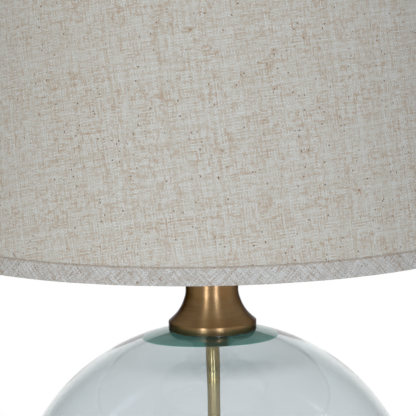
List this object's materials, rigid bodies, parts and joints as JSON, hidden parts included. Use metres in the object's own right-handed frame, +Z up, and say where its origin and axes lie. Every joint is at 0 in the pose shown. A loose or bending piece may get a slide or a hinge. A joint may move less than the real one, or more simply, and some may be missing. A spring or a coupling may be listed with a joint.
{
  "type": "table lamp",
  "caption": "Table lamp with a pale blown-glass globe body, flared antique-brass neck cap and tapered linen drum shade on a harp.",
  "frame": {"origin": "on the lamp's vertical axis, at the underside of the felt pad", "axes": "+Z up along the lamp's axis, -Y the front where the switch knob points, +Y the back where the cord enters"},
  "size_m": [0.4584, 0.4584, 0.6771],
  "materials": {
    "felt": "pressed wool felt",
    "antique_brass": "spun, brushed, darkened and lacquered",
    "cast_iron": "as cast",
    "nylon": "moulded",
    "brass_pipe": "drawn and darkened",
    "zinc_steel": "zinc plated",
    "brass_nut": "turned",
    "aqua_glass": "mouth blown, clear with a pale blue-green cast",
    "rubber": "moulded",
    "clear_vinyl": "clear",
    "nickel_steel": "nickel plated wire and strip",
    "polished_brass": "drawn and polished",
    "card": "insulating card",
    "phenolic": "compression moulded",
    "shell_aluminium": "pressed",
    "solder": "solder",
    "bulb_black_glass": "black glass",
    "frosted_glass": "frosted",
    "white_enamel_wire": "white powder coat",
    "white_styrene": "translucent sheet",
    "linen": "plain woven slub linen blend",
    "linen_tape": "bias tape of the same linen"
  },
  "bodies": {
    "lamp_base": {"felt_pad": "felt", "base_foot": "antique_brass", "base_weight": "cast_iron", "cord_bushing": "nylon", "lamp_pipe": "brass_pipe", "bottom_washer": "zinc_steel", "lock_washer": "zinc_steel", "bottom_nut": "brass_nut", "saddle_nut": "brass_nut", "glass_body": "aqua_glass", "seat_gasket": "rubber", "neck_gasket": "clear_vinyl", "lower_bush": "nylon", "upper_bush": "nylon", "neck_cap": "antique_brass", "harp_saddle": "nickel_steel", "socket_cap": "polished_brass", "socket_set_screw": "zinc_steel", "socket_shell": "polished_brass", "socket_liner": "card", "switch_body": "phenolic", "terminal_screws": "brass_nut", "centre_contact": "brass_nut", "screw_shell": "shell_aluminium"},
    "switch": {"switch_shaft": "brass_nut", "switch_knob": "phenolic"},
    "bulb": {"bulb_tip": "solder", "bulb_insulator": "bulb_black_glass", "bulb_cap": "shell_aluminium", "bulb_envelope": "frosted_glass"},
    "harp": {"harp_wire": "nickel_steel"},
    "left_sleeve": {"sleeve_left": "polished_brass"},
    "right_sleeve": {"sleeve_right": "polished_brass"},
    "swivel": {"harp_swivel": "nickel_steel"},
    "shade": {"shade_spider": "white_enamel_wire", "shade_top_ring": "white_enamel_wire", "shade_bottom_ring": "white_enamel_wire", "shade_liner": "white_styrene", "shade_fabric": "linen", "bottom_trim": "linen_tape", "top_trim": "linen_tape"},
    "finial_ring": {"finial_washer": "antique_brass"},
    "finial_nut": {"finial": "antique_brass"}
  },
  "joints": [
    {"name": "switch_turn", "type": "hinge", "parent": "lamp_base", "child": "switch", "pos_m": [0, -0.02, 0.42436], "axis": [0, -1, 0], "continuous": true},
    {"name": "bulb_unscrew", "type": "slide", "parent": "lamp_base", "child": "bulb", "axis": [0, 0, 1], "range_m": [0, 0.03]},
    {"name": "harp_lift", "type": "slide", "parent": "lamp_base", "child": "harp", "axis": [0, 0, 1], "range_m": [0, 0.02]},
    {"name": "left_sleeve_slide", "type": "slide", "parent": "harp", "child": "left_sleeve", "axis": [0, 0, 1], "range_m": [0, 0.0145]},
    {"name": "right_sleeve_slide", "type": "slide", "parent": "harp", "child": "right_sleeve", "axis": [0, 0, 1], "range_m": [0, 0.0145]},
    {"name": "swivel_turn", "type": "hinge", "parent": "harp", "child": "swivel", "pos_m": [0, 0, 0.64086], "axis": [0, 0, 1], "continuous": true},
    {"name": "shade_lift", "type": "slide", "parent": "swivel", "child": "shade", "axis": [0, 0, 1], "range_m": [0, 0.28]},
    {"name": "finial_rise", "type": "slide", "parent": "shade", "child": "finial_ring", "axis": [0, 0, 1], "range_m": [0, 0.0076]},
    {"name": "finial_turn", "type": "hinge", "parent": "finial_ring", "child": "finial_nut", "pos_m": [0, 0, 0.65386], "axis": [0, 0, 1], "range_deg": [0, 2909]}
  ],
  "couplings": [
    {"joint": "finial_turn", "follows": "finial_rise", "rad_per_m": 6679}
  ]
}
